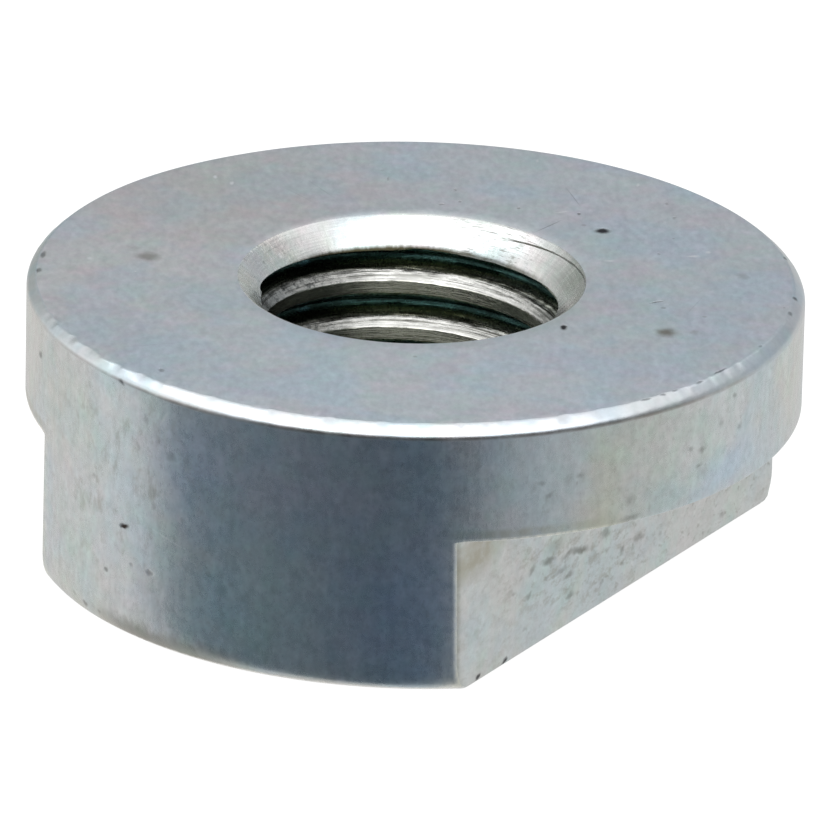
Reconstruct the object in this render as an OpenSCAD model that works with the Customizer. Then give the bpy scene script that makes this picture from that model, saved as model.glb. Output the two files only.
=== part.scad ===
// Round nut with a full round head, and a foot below it that is narrowed
// between two opposite milled flats. Turned and milled from one piece of steel,
// tapped right through on its axis.
//
// Frame: millimetres, +Z up along the thread axis. The origin is the centre of
// the foot's end face, which the nut stands on. The flats face +X and -X.

/* [Body] */
// Outside diameter of the turned blank, head and foot alike
outer_d = 27; // [24:0.5:32]
// Overall height along the thread axis
total_h = 9.8; // [8:0.1:12]
// Height of the full round head, above the flats
head_h = 4.2; // [3:0.1:5]
// Edge chamfer round the head's face
head_chamfer = 0.35; // [0.1:0.05:0.6]
// How far in the rounded edge of the foot's end face cuts
foot_edge_in = 0.55; // [0.2:0.05:0.9]
// How high up the side that rounded edge reaches
foot_edge_up = 1.1; // [0.2:0.1:1.6]

/* [Flats] */
// Width across the two flats
across_flats = 17; // [15:0.1:20]
// Corner radius that the milling cutter leaves under the head
mill_corner_r = 0.08; // [0.06:0.02:0.4]
// Edge break along the lower edge of each flat
flat_edge_break = 0.12; // [0.05:0.01:0.25]

/* [Thread] */
// Nominal diameter of the thread
thread_d = 12; // [10:1:14]
// Pitch of the thread, from crest to crest
thread_pitch = 1.75; // [1.25:0.25:2]
// How much wider than the thread each countersink opens at its face
countersink_extra = 0; // [0:0.1:1]
// Included angle of the countersinks, in degrees
countersink_angle = 90; // [80:5:100]

/* [Hidden] */

$fn = 128;
eps = 0.01;

outer_r = outer_d / 2;
// Drilled core, which the crests of the thread lie on: one pitch under the
// nominal diameter, less the usual allowance of a tapping drill
drill_allowance = 0.05;
core_r = (thread_d - thread_pitch - drill_allowance) / 2;
countersink_r = (thread_d + countersink_extra) / 2;
// Depth of each countersink, from its angle and its two radii
countersink_depth = (countersink_r - core_r) / tan(countersink_angle / 2);
foot_h = total_h - head_h;
half_flats = across_flats / 2;
// How deep the milling cutter reaches in from the blank's outside
mill_depth = outer_r - half_flats;

// Half section of the turned, drilled and countersunk blank, in the RZ plane
blank_section = [
    [core_r, countersink_depth],
    [core_r, total_h - countersink_depth],
    [countersink_r, total_h],
    [outer_r - head_chamfer, total_h],
    [outer_r, total_h - head_chamfer],
    for (a = [0 : 15 : 90])
        [outer_r - foot_edge_in * (1 - cos(a)), foot_edge_up * (1 - sin(a))],
    [countersink_r, 0],
];

// The blank as it leaves the lathe
module turned_blank() {
    rotate_extrude()
        polygon(blank_section);
}

// Section of what the cutter takes away beside one flat: x runs outward from
// the flat, y runs up from the foot's end face. The upper inner corner is
// rounded, and the lower inner corner breaks the flat's lower edge.
module milled_section() {
    reach = mill_depth + 1;
    difference() {
        union() {
            translate([0, -1])
                square([reach, foot_h + 1]);
            polygon([
                [eps, -1],
                [eps, flat_edge_break + eps],
                [-flat_edge_break - 1, -1],
            ]);
        }
        translate([0, foot_h - mill_corner_r])
            difference() {
                translate([-1, 0])
                    square([mill_corner_r + 1, mill_corner_r + 1]);
                translate([mill_corner_r, 0])
                    circle(r = mill_corner_r, $fn = 48);
                translate([mill_corner_r, -1])
                    square([1, mill_corner_r + 2]);
            }
    }
}

// The two cuts that leave the flats, one on each side
module milled_cuts() {
    for (side = [0, 180])
        rotate([0, 0, side])
            translate([half_flats, outer_r + 1, 0])
                rotate([90, 0, 0])
                    linear_extrude(height = outer_d + 2)
                        milled_section();
}

// The whole nut: turned, drilled and milled from one piece
module round_nut() {
    color([0.70, 0.72, 0.74])
        difference() {
            turned_blank();
            milled_cuts();
        }
}

round_nut();
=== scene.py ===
import math

import bmesh
import bpy
import numpy as np
from mathutils import Matrix, Vector, noise


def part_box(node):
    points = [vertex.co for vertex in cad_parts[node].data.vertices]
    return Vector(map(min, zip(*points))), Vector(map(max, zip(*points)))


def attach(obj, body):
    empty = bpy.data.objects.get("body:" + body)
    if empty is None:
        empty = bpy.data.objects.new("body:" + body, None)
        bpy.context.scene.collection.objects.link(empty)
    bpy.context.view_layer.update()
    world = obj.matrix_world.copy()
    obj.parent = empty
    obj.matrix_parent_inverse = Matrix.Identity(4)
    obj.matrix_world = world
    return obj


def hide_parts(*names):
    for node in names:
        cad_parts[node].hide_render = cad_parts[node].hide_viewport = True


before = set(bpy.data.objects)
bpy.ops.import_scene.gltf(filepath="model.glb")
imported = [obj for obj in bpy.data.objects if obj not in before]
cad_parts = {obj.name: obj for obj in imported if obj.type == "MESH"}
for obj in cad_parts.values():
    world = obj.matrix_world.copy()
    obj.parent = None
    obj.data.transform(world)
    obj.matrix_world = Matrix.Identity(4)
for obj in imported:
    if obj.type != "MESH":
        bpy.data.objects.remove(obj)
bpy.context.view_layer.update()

# ---------------------------------------------------------------------------
# Sizes, in millimetres. The frame is the part's own: +Z up along the thread,
# origin at the centre of the foot's end face, flats facing +X and -X.
# ---------------------------------------------------------------------------
MM = 0.001
LOW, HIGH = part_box("round_nut")
R = (HIGH.x - LOW.x) / 2 / MM          # outside radius
H = (HIGH.z - LOW.z) / MM              # height
FOOT = H - 4.2                         # underside of the head
W = 8.5                                # half the width across flats
W_TOP, W_LOW = 8.45, 8.55              # the flats lean a little, as milled
RIM, RIM_UP = 0.38, 0.335              # chamfer round the head's face, in and down
TOE_IN, TOE_UP = 0.55, 1.10            # rounded edge of the foot's end face
MILL_R = 0.08                          # corner that the cutter leaves
BREAK = 0.12                           # lower edge of each flat
CORE = 5.1                             # crests of the thread
ROOT = 5.94                            # bottom of the thread's groove
SINK = 6.0                             # countersinks, at the faces
PITCH = 1.75

AZ = math.radians(31.685)              # camera, from -Y towards +X
EL = math.radians(22.493)
ROLL = math.radians(1.336)
TO_RIGHT = np.array([math.cos(AZ), math.sin(AZ)])
TO_BACK = np.array([-math.sin(AZ), math.cos(AZ)])
BX, BY = -0.15 * TO_RIGHT + 0.07 * TO_BACK     # the tapped hole is a little off centre

FAR = math.pi / 2 + AZ                 # the wall of the hole that the camera looks at
LAND_LOW = 2.65                        # depth there of one crest's lower edge

rng = np.random.default_rng(20)


def wobble(n, low, high, fall=0.6):
    """Seeded noise around a closed ring, about -1 to 1."""
    t = np.linspace(0, 2 * math.pi, n, endpoint=False)
    out = np.zeros(n)
    for k in range(low, high):
        out += math.pow(low / k, fall) * np.cos(k * t + rng.uniform(0, 2 * math.pi))
    return out / (2.2 * out.std())


# ---------------------------------------------------------------------------
# Shader helpers
# ---------------------------------------------------------------------------


class Nodes:
    """A short way to write shader nodes."""

    def __init__(self, tree):
        self.tree = tree
        tree.nodes.clear()

    def new(self, kind, **props):
        n = self.tree.nodes.new(kind)
        for k, v in props.items():
            setattr(n, k, v)
        return n

    def put(self, socket, value):
        if isinstance(value, bpy.types.NodeSocket):
            self.tree.links.new(value, socket)
        elif value is not None:
            socket.default_value = value

    def math(self, op, a, b=None, c=None, clamp=False):
        n = self.new("ShaderNodeMath", operation=op, use_clamp=clamp)
        for i, v in enumerate((a, b, c)):
            if v is not None:
                self.put(n.inputs[i], v)
        return n.outputs[0]

    def add(self, *terms):
        out = terms[0]
        for t in terms[1:]:
            out = self.math("ADD", out, t)
        return out

    def mul(self, *terms):
        out = terms[0]
        for t in terms[1:]:
            out = self.math("MULTIPLY", out, t)
        return out

    def vec(self, op, a, b=None):
        n = self.new("ShaderNodeVectorMath", operation=op)
        self.put(n.inputs[0], a)
        if b is not None:
            self.put(n.inputs[3 if op == "SCALE" else 1], b)
        return n.outputs[1] if op in ("LENGTH", "DISTANCE", "DOT_PRODUCT") else n.outputs[0]

    def parts(self, v):
        n = self.new("ShaderNodeSeparateXYZ")
        self.put(n.inputs[0], v)
        return n.outputs[0], n.outputs[1], n.outputs[2]

    def join(self, x, y, z=0.0):
        n = self.new("ShaderNodeCombineXYZ")
        for i, v in enumerate((x, y, z)):
            self.put(n.inputs[i], v)
        return n.outputs[0]

    def remap(self, value, a, b, c=0.0, d=1.0, smooth=True):
        n = self.new("ShaderNodeMapRange")
        n.interpolation_type = "SMOOTHSTEP" if smooth else "LINEAR"
        n.clamp = True
        self.put(n.inputs[0], value)
        for i, v in enumerate((a, b, c, d)):
            self.put(n.inputs[i + 1], v)
        return n.outputs[0]

    def noise(self, at, scale, detail=3.0, rough=0.5, distort=0.0):
        n = self.new("ShaderNodeTexNoise")
        self.put(n.inputs["Vector"], at)
        n.inputs["Scale"].default_value = scale
        n.inputs["Detail"].default_value = detail
        n.inputs["Roughness"].default_value = rough
        n.inputs["Distortion"].default_value = distort
        return n.outputs["Fac"]

    def cells(self, at, scale):
        """Voronoi cells: distance to the nearest point, and a random value for its cell."""
        n = self.new("ShaderNodeTexVoronoi", feature="F1")
        self.put(n.inputs["Vector"], at)
        n.inputs["Scale"].default_value = scale
        c = self.new("ShaderNodeSeparateColor")
        self.put(c.inputs[0], n.outputs["Color"])
        return n.outputs["Distance"], c.outputs[0], c.outputs[1]

    def pits(self, at, scale, share, size):
        """Small scattered spots, 0 to 1."""
        dist, pick, other = self.cells(at, scale)
        spread = self.math("MULTIPLY_ADD", other, size * 0.8, size * 0.4)
        near = self.remap(self.math("DIVIDE", dist, spread), 1.0, 0.45)
        return self.mul(near, self.math("LESS_THAN", pick, share))

    def mix(self, fac, a, b, mode="MIX"):
        n = self.new("ShaderNodeMix", data_type="RGBA", blend_type=mode)
        self.put(n.inputs[0], fac)
        self.put(n.inputs[6], a)
        self.put(n.inputs[7], b)
        return n.outputs[2]

    def grey(self, value):
        c = self.new("ShaderNodeCombineColor")
        for i in range(3):
            self.put(c.inputs[i], value)
        return c.outputs[0]

    def times(self, colour, value):
        return self.mix(1.0, colour, self.grey(value), "MULTIPLY")

    def stretch(self, at, sx, sy, sz):
        return self.vec("MULTIPLY", at, (sx, sy, sz))

    def spot(self, at, u, v, a, b, turn=0.0, soft=0.5):
        """One soft-edged oval at (u, v), with half-lengths a and b, 0 to 1."""
        m = self.new("ShaderNodeMapping", vector_type="TEXTURE")
        self.put(m.inputs["Vector"], at)
        m.inputs["Location"].default_value = (u, v, 0)
        m.inputs["Rotation"].default_value = (0, 0, math.radians(turn))
        m.inputs["Scale"].default_value = (a, b, 1000.0)
        return self.remap(self.vec("LENGTH", m.outputs[0]), 1.0 + soft, 1.0 - soft)

    def marks(self, at, colour, paint, items, soft, turn=0.0):
        """Several ovals painted on; gives the colour, and where they are."""
        total = 0.0
        for u, v, a, b, spin, tone in items:
            m = self.mul(self.spot(at, u, v, a, b, turn + spin, soft), tone)
            colour = self.mix(m, colour, paint)
            total = self.math("MAXIMUM", m, total)
        return colour, total

    def ramp(self, value, stops, ease="EASE"):
        r = self.new("ShaderNodeValToRGB")
        r.color_ramp.interpolation = ease
        while len(r.color_ramp.elements) < len(stops):
            r.color_ramp.elements.new(0.5)
        for e, (at, c) in zip(r.color_ramp.elements, stops):
            e.position = at
            e.color = (*c, 1)
        self.put(r.inputs[0], value)
        return r.outputs[0]


# ---------------------------------------------------------------------------
# Materials: bright zinc plate, worn and handled
# ---------------------------------------------------------------------------
TINT = (0.66, 0.69, 0.71)
DARK = (0.03, 0.03, 0.035, 1)
BROWN = (0.20, 0.17, 0.13, 1)


def lay(n, mm):
    """Coordinates for a grain that lies along one direction of the face."""
    x, y, z = n.parts(mm)
    across = n.add(n.mul(x, math.cos(AZ)), n.mul(y, math.sin(AZ)))
    along = n.add(n.mul(x, -math.sin(AZ)), n.mul(y, math.cos(AZ)))
    return n.join(across, n.mul(along, 0.5), z)


def zinc(name, rough, grain, mottle=1.0, tint=TINT, rose=1.0):
    """Zinc plate. grain() adds what one surface has, and gives colour, roughness, height."""
    mat = bpy.data.materials.new(name)
    mat.use_nodes = True
    n = Nodes(mat.node_tree)
    out = n.new("ShaderNodeOutputMaterial")
    bsdf = n.new("ShaderNodeBsdfPrincipled")
    n.tree.links.new(bsdf.outputs[0], out.inputs[0])
    bsdf.inputs["Metallic"].default_value = 1.0
    mm = n.vec("SCALE", n.new("ShaderNodeTexCoord").outputs["Object"], 1000.0)
    colour = n.new("ShaderNodeRGB")
    colour.outputs[0].default_value = (*tint, 1)
    colour = colour.outputs[0]
    # clouds of blue, rose and green-grey in the plating
    for off, scale, low, high, share, hue in (
            ((0, 0, 0), 0.34, 0.42, 0.64, 1.0, (0.915, 0.985, 1.035)),
            ((31, 7, 5), 0.42, 0.44, 0.66, rose, (1.045, 0.970, 0.985)),
            ((-17, 43, 11), 0.60, 0.48, 0.68, 0.9, (0.955, 1.020, 0.975)),
            ((9, -27, 31), 1.40, 0.42, 0.68, 0.8 * rose, (1.035, 0.985, 1.020)),
            ((-5, 13, 71), 1.70, 0.42, 0.68, 0.8, (0.965, 1.010, 1.000))):
        cloud = n.noise(n.vec("ADD", mm, off), scale, 3.0, 0.55)
        colour = n.mix(n.remap(cloud, low, high, 0, share), colour, n.mix(1.0, colour, (*hue, 1), "MULTIPLY"))
    fine = n.noise(lay(n, mm) if grain is grain_face else mm, 4.2, 3.0, 0.62)
    colour = n.times(colour, n.remap(fine, 0.25, 0.75, 1 - 0.055 * mottle, 1 + 0.055 * mottle, False))
    colour, r, h = grain(n, mm, colour)
    r = n.add(r, rough, n.mul(n.math("SUBTRACT", fine, 0.5), 0.10))
    n.put(bsdf.inputs["Base Color"], colour)
    n.put(bsdf.inputs["Roughness"], r)
    bump = n.new("ShaderNodeBump")
    bump.inputs["Strength"].default_value = 1.0
    bump.inputs["Distance"].default_value = 0.001
    n.put(bump.inputs["Height"], h)
    n.put(bsdf.inputs["Normal"], bump.outputs[0])
    return mat


def centred(n, value, amount):
    return n.mul(n.math("SUBTRACT", value, 0.5), amount)


def ragged(n, mm, amount):
    """Coordinates shaken a little, so that marks get uneven outlines."""
    t = n.new("ShaderNodeTexNoise")
    n.put(t.inputs["Vector"], mm)
    t.inputs["Scale"].default_value = 3.5
    t.inputs["Detail"].default_value = 3.0
    shake = n.vec("SCALE", n.vec("SUBTRACT", t.outputs["Color"], (0.5, 0.5, 0.5)), amount)
    return n.vec("ADD", mm, shake)


def around(n, mm):
    """Unrolled side: millimetres round from +X, and height."""
    x, y, z = n.parts(mm)
    return n.join(n.mul(n.math("ARCTAN2", y, x), R), z)


def on_side(items):
    return [(math.radians(deg) * R, v, a, b, spin, tone) for deg, v, a, b, spin, tone in items]


def on_rim(items):
    """Dashes along the rim: (angle, radius, half-length, half-width, strength)."""
    return [(r * math.cos(math.radians(deg)), r * math.sin(math.radians(deg)), a, b, deg + 90, tone) for deg, r, a, b, tone in items]


RIM_DASHES = on_rim(((-5.2, 13.02, 0.30, 0.045, 0.6), (-10.5, 13.12, 0.17, 0.05, 0.5), (-15.6, 13.07, 0.11, 0.045, 0.45),
                     (-18.0, 13.08, 0.10, 0.045, 0.45), (-21.3, 13.09, 0.18, 0.045, 0.5), (6.9, 13.05, 0.10, 0.05, 0.35),
                     (21.2, 13.13, 0.14, 0.07, 0.5), (27.4, 13.15, 0.12, 0.07, 0.7), (43.7, 13.14, 0.14, 0.06, 0.6),
                     (-154.6, 13.06, 0.30, 0.075, 0.6), (-148.2, 13.08, 0.19, 0.085, 0.55)))


def grain_face(n, mm, colour):
    at = ragged(n, mm, 0.12)
    turn = math.degrees(AZ)
    # painted light: the face is made paler towards one side, as a reflection would light it; warmer at another, from
    # uneven plating
    pale = n.spot(mm, 5.2, -9.0, 9.5, 5.5, turn, 0.75)
    colour = n.times(colour, n.math("MULTIPLY_ADD", pale, 0.07, 1.0))
    warm = n.spot(mm, -9.2, -5.4, 4.6, 4.6, turn, 0.8)
    colour = n.mix(warm, colour, n.mix(1.0, colour, (1.095, 1.035, 0.995, 1), "MULTIPLY"))
    warm = n.spot(mm, -10.0, 2.9, 4.8, 4.2, turn, 0.8)
    colour = n.mix(warm, colour, n.mix(1.0, colour, (1.01, 0.945, 0.89, 1), "MULTIPLY"))
    # specks in the plating, some dark and some bright
    colour = n.mix(n.mul(n.pits(mm, 0.60, 0.30, 0.09), 0.35), colour, (0.26, 0.25, 0.24, 1))
    colour = n.mix(n.mul(n.pits(n.vec("ADD", mm, (5, 9, 0)), 0.9, 0.22, 0.06), 0.6), colour, (0.95, 0.95, 0.95, 1))
    smear = n.noise(n.vec("ADD", lay(n, mm), (3, 1, 8)), 1.3, 4.0, 0.65)
    colour = n.times(colour, n.remap(smear, 0.30, 0.70, 0.955, 1.04, False))
    # stains
    colour, t0 = n.marks(ragged(n, mm, 0.34), colour, BROWN, ((-8.72, -3.65, 0.34, 0.34, 0, 0.58), (9.68, 0.77, 0.30, 0.32, 0, 0.85), (10.49, 1.34, 0.16, 0.2, 0, 0.30),
                                             (-9.57, -3.3, 0.20, 0.20, 0, 0.22), (9.14, 6.75, 0.16, 0.26, 0, 0.28)), 0.85, turn)
    # pits and nicks
    colour, t1 = n.marks(at, colour, DARK, ((2.96, 7.55, 0.25, 0.22, 0, 1.0), (6.53, -0.88, 0.10, 0.22, 0, 1.0), (-2.62, -12.07, 0.09, 0.16, 0, 0.5),
                                            (1.44, 8.46, 0.06, 0.11, 0, 0.65), (-0.59, 7.72, 0.05, 0.10, 0, 0.4), (7.95, 2.95, 0.05, 0.22, -62, 0.55),
                                            (5.69, 6.85, 0.05, 0.10, 0, 0.35), (4.38, 10.08, 0.05, 0.12, 0, 0.35), (3.45, 11.10, 0.05, 0.12, 0, 0.3),
                                            (-3.36, 7.91, 0.05, 0.10, 0, 0.4), (-2.61, 7.05, 0.05, 0.10, 0, 0.4), (-3.0, 6.47, 0.09, 0.08, 0, 0.4),
                                            (-5.86, 7.45, 0.035, 0.2, 0, 0.3), (-11.92, -5.75, 0.08, 0.22, 0, 0.6), (-11.15, -7.03, 0.08, 0.22, 0, 0.5)), 0.55, turn)
    # bright flecks
    colour, t2 = n.marks(at, colour, (0.95, 0.95, 0.95, 1), ((-10.94, 4.05, 0.07, 0.13, 0, 0.85), (-10.14, 3.89, 0.07, 0.13, 0, 0.85),
                                                            (-10.29, -4.96, 0.08, 0.13, 0, 0.6), (4.62, 5.28, 0.14, 0.06, 0, 0.6),
                                                            (6.79, 7.33, 0.18, 0.08, 8, 0.6), (7.04, 7.96, 0.08, 0.10, 0, 0.55), (0.85, 8.28, 0.24, 0.05, 20, 0.5),
                                                            (-2.45, 11.97, 0.05, 0.14, 0, 0.4), (1.69, 12.04, 0.05, 0.14, 0, 0.45)), 0.8, turn)
    # hair scratches
    colour, t3 = n.marks(mm, colour, (0.20, 0.20, 0.20, 1), ((1.17, 6.85, 0.62, 0.022, 52, 0.6), (0.45, 9.7, 0.75, 0.02, 106, 0.35), (-7.2, 5.2, 0.9, 0.018, -60, 0.18),
                                                            (-7.6, 4.3, 0.8, 0.018, -52, 0.16), (-4.2, -10.4, 0.9, 0.018, 15, 0.14), (7.3, -4.6, 1.1, 0.018, -12, 0.12),
                                                            (9.2, 3.4, 0.7, 0.018, 70, 0.15)), 0.6, turn)
    # dark nicks where the face ends at the rim
    colour, t4 = n.marks(at, colour, DARK, RIM_DASHES, 0.6)
    h = n.add(n.mul(n.noise(mm, 8.0, 4.0, 0.62), 0.0018), n.mul(smear, 0.0016), n.mul(t1, -0.025), n.mul(t4, -0.02))
    r = n.add(centred(n, n.noise(mm, 0.7, 3.0), 0.07), n.mul(t1, 0.3))
    return colour, r, h


def rim_line_shade_and_nick(n, mm, colour):
    """Painted shade: a darker brownish line where the rim's chamfer ends on the side, deepest round the front; and one
    dark nick.
    """
    x, y, z = n.parts(mm)
    u = n.mul(n.math("ARCTAN2", y, x), 180 / math.pi)
    way = n.noise(n.stretch(mm, 1.3, 1.3, 0.3), 1.0, 4.0, 0.6)
    deep = n.remap(n.math("ABSOLUTE", n.math("SUBTRACT", u, -60.0)), 78.0, 30.0, 0.05, 0.50)
    less = n.remap(n.mul(n.math("SINE", n.math("SUBTRACT", n.math("ARCTAN2", y, x), AZ - math.pi / 2)), -1.0), 0.45, 0.85, 0.0, 0.11)
    line = n.remap(n.math("ABSOLUTE", n.math("SUBTRACT", z, n.add(less, H - RIM_UP - 0.08))), 0.095, 0.01)
    colour = n.mix(n.mul(line, deep, n.remap(way, 0.32, 0.62, 0.5, 1.1)), colour, (0.17, 0.115, 0.09, 1))
    at = around(n, ragged(n, mm, 0.15))
    return n.marks(at, colour, DARK, on_side(((-105.6, 9.42, 0.13, 0.07, -14, 0.7),)), 0.85)[0]


def grain_side(n, mm, colour):
    x, y, z = n.parts(mm)
    roll = around(n, mm)
    at = around(n, ragged(n, mm, 0.22))
    streak = n.noise(n.stretch(mm, 2.6, 2.6, 0.16), 1.0, 4.0, 0.6)
    colour = n.times(colour, n.remap(streak, 0.30, 0.70, 0.965, 1.03, False))
    blot = n.noise(n.stretch(mm, 1.0, 1.0, 0.7), 2.0, 4.0, 0.65)
    colour = n.times(colour, n.remap(blot, 0.30, 0.70, 0.915, 1.065, False))
    smudge = n.noise(n.vec("ADD", n.stretch(mm, 1.0, 1.0, 0.6), (7, 3, 1)), 4.6, 3.0, 0.6)
    colour = n.times(colour, n.remap(smudge, 0.25, 0.75, 0.925, 1.06, False))
    # colour clouds: blue, green-blue and rose
    for deg, v, a, b, share, hue in ((-57, 3.0, 2.1, 2.6, 0.9, (0.88, 0.975, 1.12)), (-84, 2.4, 2.6, 2.0, 0.8, (0.95, 1.035, 1.015)),
                                     (-77, 7.4, 3.2, 1.3, 0.7, (1.04, 0.975, 1.03)), (-93, 7.6, 1.5, 1.5, 0.8, (0.92, 0.985, 1.09)),
                                     (-68, 5.2, 1.6, 1.2, 0.6, (1.05, 0.985, 0.98)), (-126, 3.2, 1.6, 2.4, 0.7, (0.97, 1.0, 1.06)),
                                     (-118, 7.0, 2.4, 1.4, 0.7, (1.01, 1.015, 0.955)), (-115, 1.6, 2.0, 1.2, 0.6, (1.0, 1.01, 0.95)), (13, 7.8, 2.2, 1.8, 0.9, (1.02, 0.975, 0.92))):
        cloud = n.spot(at, math.radians(deg) * R, v, a, b, 0, 0.85)
        colour = n.mix(n.mul(cloud, share), colour, n.mix(1.0, colour, (*hue, 1), "MULTIPLY"))
    # brown smears
    where = n.add(0.25, n.mul(n.spot(roll, math.radians(-106) * R, 5.8, 3.2, 3.4, 0, 0.6), 0.75))
    smear = n.noise(n.vec("ADD", n.stretch(mm, 1.0, 1.0, 0.55), (2, 9, 4)), 1.5, 5.0, 0.7)
    colour = n.mix(n.mul(n.remap(smear, 0.50, 0.68), where, 0.42), colour, (0.30, 0.29, 0.25, 1))
    # many faint specks, a little taller than wide
    speck = n.noise(n.stretch(mm, 1.0, 1.0, 0.75), 2.9, 3.0, 0.6)
    colour = n.mix(n.remap(speck, 0.54, 0.76, 0, 0.24), colour, (0.30, 0.31, 0.29, 1))
    colour = n.mix(n.mul(n.pits(n.stretch(ragged(n, mm, 0.2), 1, 1, 0.8), 0.9, 0.30, 0.12), 0.24), colour, (0.16, 0.15, 0.13, 1))
    # dark grey pits
    colour, t1 = n.marks(at, colour, (0.05, 0.04, 0.035, 1), on_side((
        (-104.6, 4.21, 0.19, 0.10, 12, 1.0), (-108.6, 2.27, 0.12, 0.09, 35, 0.5), (-99.3, 2.82, 0.14, 0.10, 0, 0.42), (-103.0, 2.88, 0.08, 0.07, 0, 0.3),
        (-130.4, 8.32, 0.18, 0.13, 0, 0.5))), 0.6)
    colour, t2 = n.marks(at, colour, (0.10, 0.095, 0.085, 1), on_side((
        (-95.7, 7.39, 0.18, 0.16, 0, 0.30), (-98.0, 7.82, 0.1, 0.14, 0, 0.25), (-100.4, 8.46, 0.09, 0.16, 0, 0.28), (-101.9, 7.33, 0.08, 0.12, 0, 0.25), (-111.8, 5.47, 0.09, 0.09, 0, 0.25),
        (-116.8, 4.23, 0.1, 0.1, 0, 0.2), (-114.2, 0.5, 0.14, 0.09, 25, 0.6), (-110.6, 0.52, 0.09, 0.07, 25, 0.4), (-117.1, 0.66, 0.09, 0.08, 0, 0.3),
        (-11.4, 7.48, 0.18, 0.10, 10, 0.36), (-12.1, 6.94, 0.15, 0.06, 10, 0.36), (-13.7, 7.63, 0.10, 0.07, 0, 0.32), (-39.3, 7.57, 0.13, 0.09, 0, 0.32),
        (-33.3, 7.68, 0.12, 0.09, 0, 0.32), (-38.2, 7.11, 0.09, 0.07, 0, 0.3), (-25.2, 6.42, 0.11, 0.14, 0, 0.3), (-7.1, 8.18, 0.13, 0.12, 0, 0.28),
        (-4.1, 8.96, 0.10, 0.09, 0, 0.4), (-25.0, 5.75, 0.35, 0.10, 6, 0.35), (-2.5, 7.7, 0.1, 0.1, 0, 0.3))), 0.85)
    # a few light scratches
    colour, t3 = n.marks(roll, colour, (0.95, 0.96, 0.97, 1), on_side((
        (-95.5, 4.3, 0.75, 0.02, -14, 0.35), (-97.0, 8.7, 0.26, 0.05, 60, 0.28), (-62, 3.4, 0.5, 0.02, 18, 0.15), (-48, 7.2, 0.4, 0.02, -30, 0.12))), 0.7)
    # a yellowed streak and a blue bloom
    u, v, w = n.parts(at)
    yellow = n.mul(n.remap(n.math("ABSOLUTE", n.math("SUBTRACT", u, math.radians(-29.5) * R)), 1.1, 0.05), n.remap(z, 5.4, 8.4, 1.0, 0.4))
    colour = n.mix(n.mul(yellow, 0.8), colour, n.mix(1.0, colour, (1.02, 1.0, 0.88, 1), "MULTIPLY"))
    bloom = n.spot(at, math.radians(-6.0) * R, 6.35, 1.7, 0.65, 14, 0.8)
    colour = n.mix(n.mul(bloom, 0.75), colour, n.mix(1.0, colour, (0.93, 0.985, 1.07, 1), "MULTIPLY"))
    # the lower part of the foot made darker and yellower towards the bottom, and brown tarnish at the head's lower
    # edge
    low = n.mul(n.remap(z, 1.6, 0.2), n.remap(n.noise(mm, 1.2, 3.0, 0.6), 0.35, 0.65))
    colour = n.mix(n.mul(low, 0.5), colour, n.mix(1.0, colour, (0.96, 0.97, 0.90, 1), "MULTIPLY"))
    over = n.mul(n.remap(n.math("ABSOLUTE", y), 11.0, 10.2), n.remap(n.math("ABSOLUTE", y), 5.0, 9.0, 0.06, 1.0))
    lip = n.mul(n.remap(n.math("ABSOLUTE", n.math("SUBTRACT", z, FOOT + 0.24)), 0.26, 0.05), over)
    colour = n.mix(n.mul(lip, n.remap(blot, 0.35, 0.6, 0.12, 0.42)), colour, (0.36, 0.35, 0.25, 1))
    # painted highlight: a bright line along the head's lower edge over the flats, as a reflection of the floor
    bright = n.mul(n.remap(z, FOOT + 0.14, FOOT + 0.06), over)
    colour = n.mix(n.mul(bright, n.remap(smudge, 0.4, 0.6, 0.4, 0.9)), colour, (1.0, 0.99, 0.93, 1))
    # painted shade over the foot's rounded edge on one side, and a painted highlight along the edge itself, as a
    # reflection of the floor
    ragged_height = n.add(z, centred(n, n.noise(n.stretch(mm, 1.0, 1.0, 0.5), 1.6, 5.0, 0.7), 0.9))
    toe_shade = n.mul(n.remap(ragged_height, 1.05, 0.45), n.remap(u, math.radians(-116) * R, math.radians(-102) * R), n.remap(u, math.radians(-78) * R, math.radians(-92) * R, 0.18, 1.0))
    colour = n.mix(n.mul(toe_shade, 0.66), colour, (0.15, 0.155, 0.135, 1))
    colour = n.mix(n.mul(n.remap(n.add(z, centred(n, smudge, 0.16)), 0.17, 0.09), 0.8), colour, (0.98, 0.98, 0.97, 1))
    # painted shade along the corners where a flat meets the round
    corner = n.mul(n.remap(n.math("ABSOLUTE", x), 8.14, 8.36), n.math("LESS_THAN", z, FOOT))
    colour = n.mix(n.mul(corner, 0.15), colour, n.mix(1.0, colour, (0.44, 0.46, 0.44, 1), "MULTIPLY"))
    colour = rim_line_shade_and_nick(n, mm, colour)
    h = n.add(n.mul(streak, 0.003), n.mul(n.noise(mm, 7.0, 4.0, 0.65), 0.003), n.mul(blot, 0.004), n.mul(t1, -0.02))
    r = n.add(centred(n, n.noise(mm, 1.1, 3.0), 0.10), centred(n, blot, 0.10), n.mul(t1, 0.2))
    return colour, r, h


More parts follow.
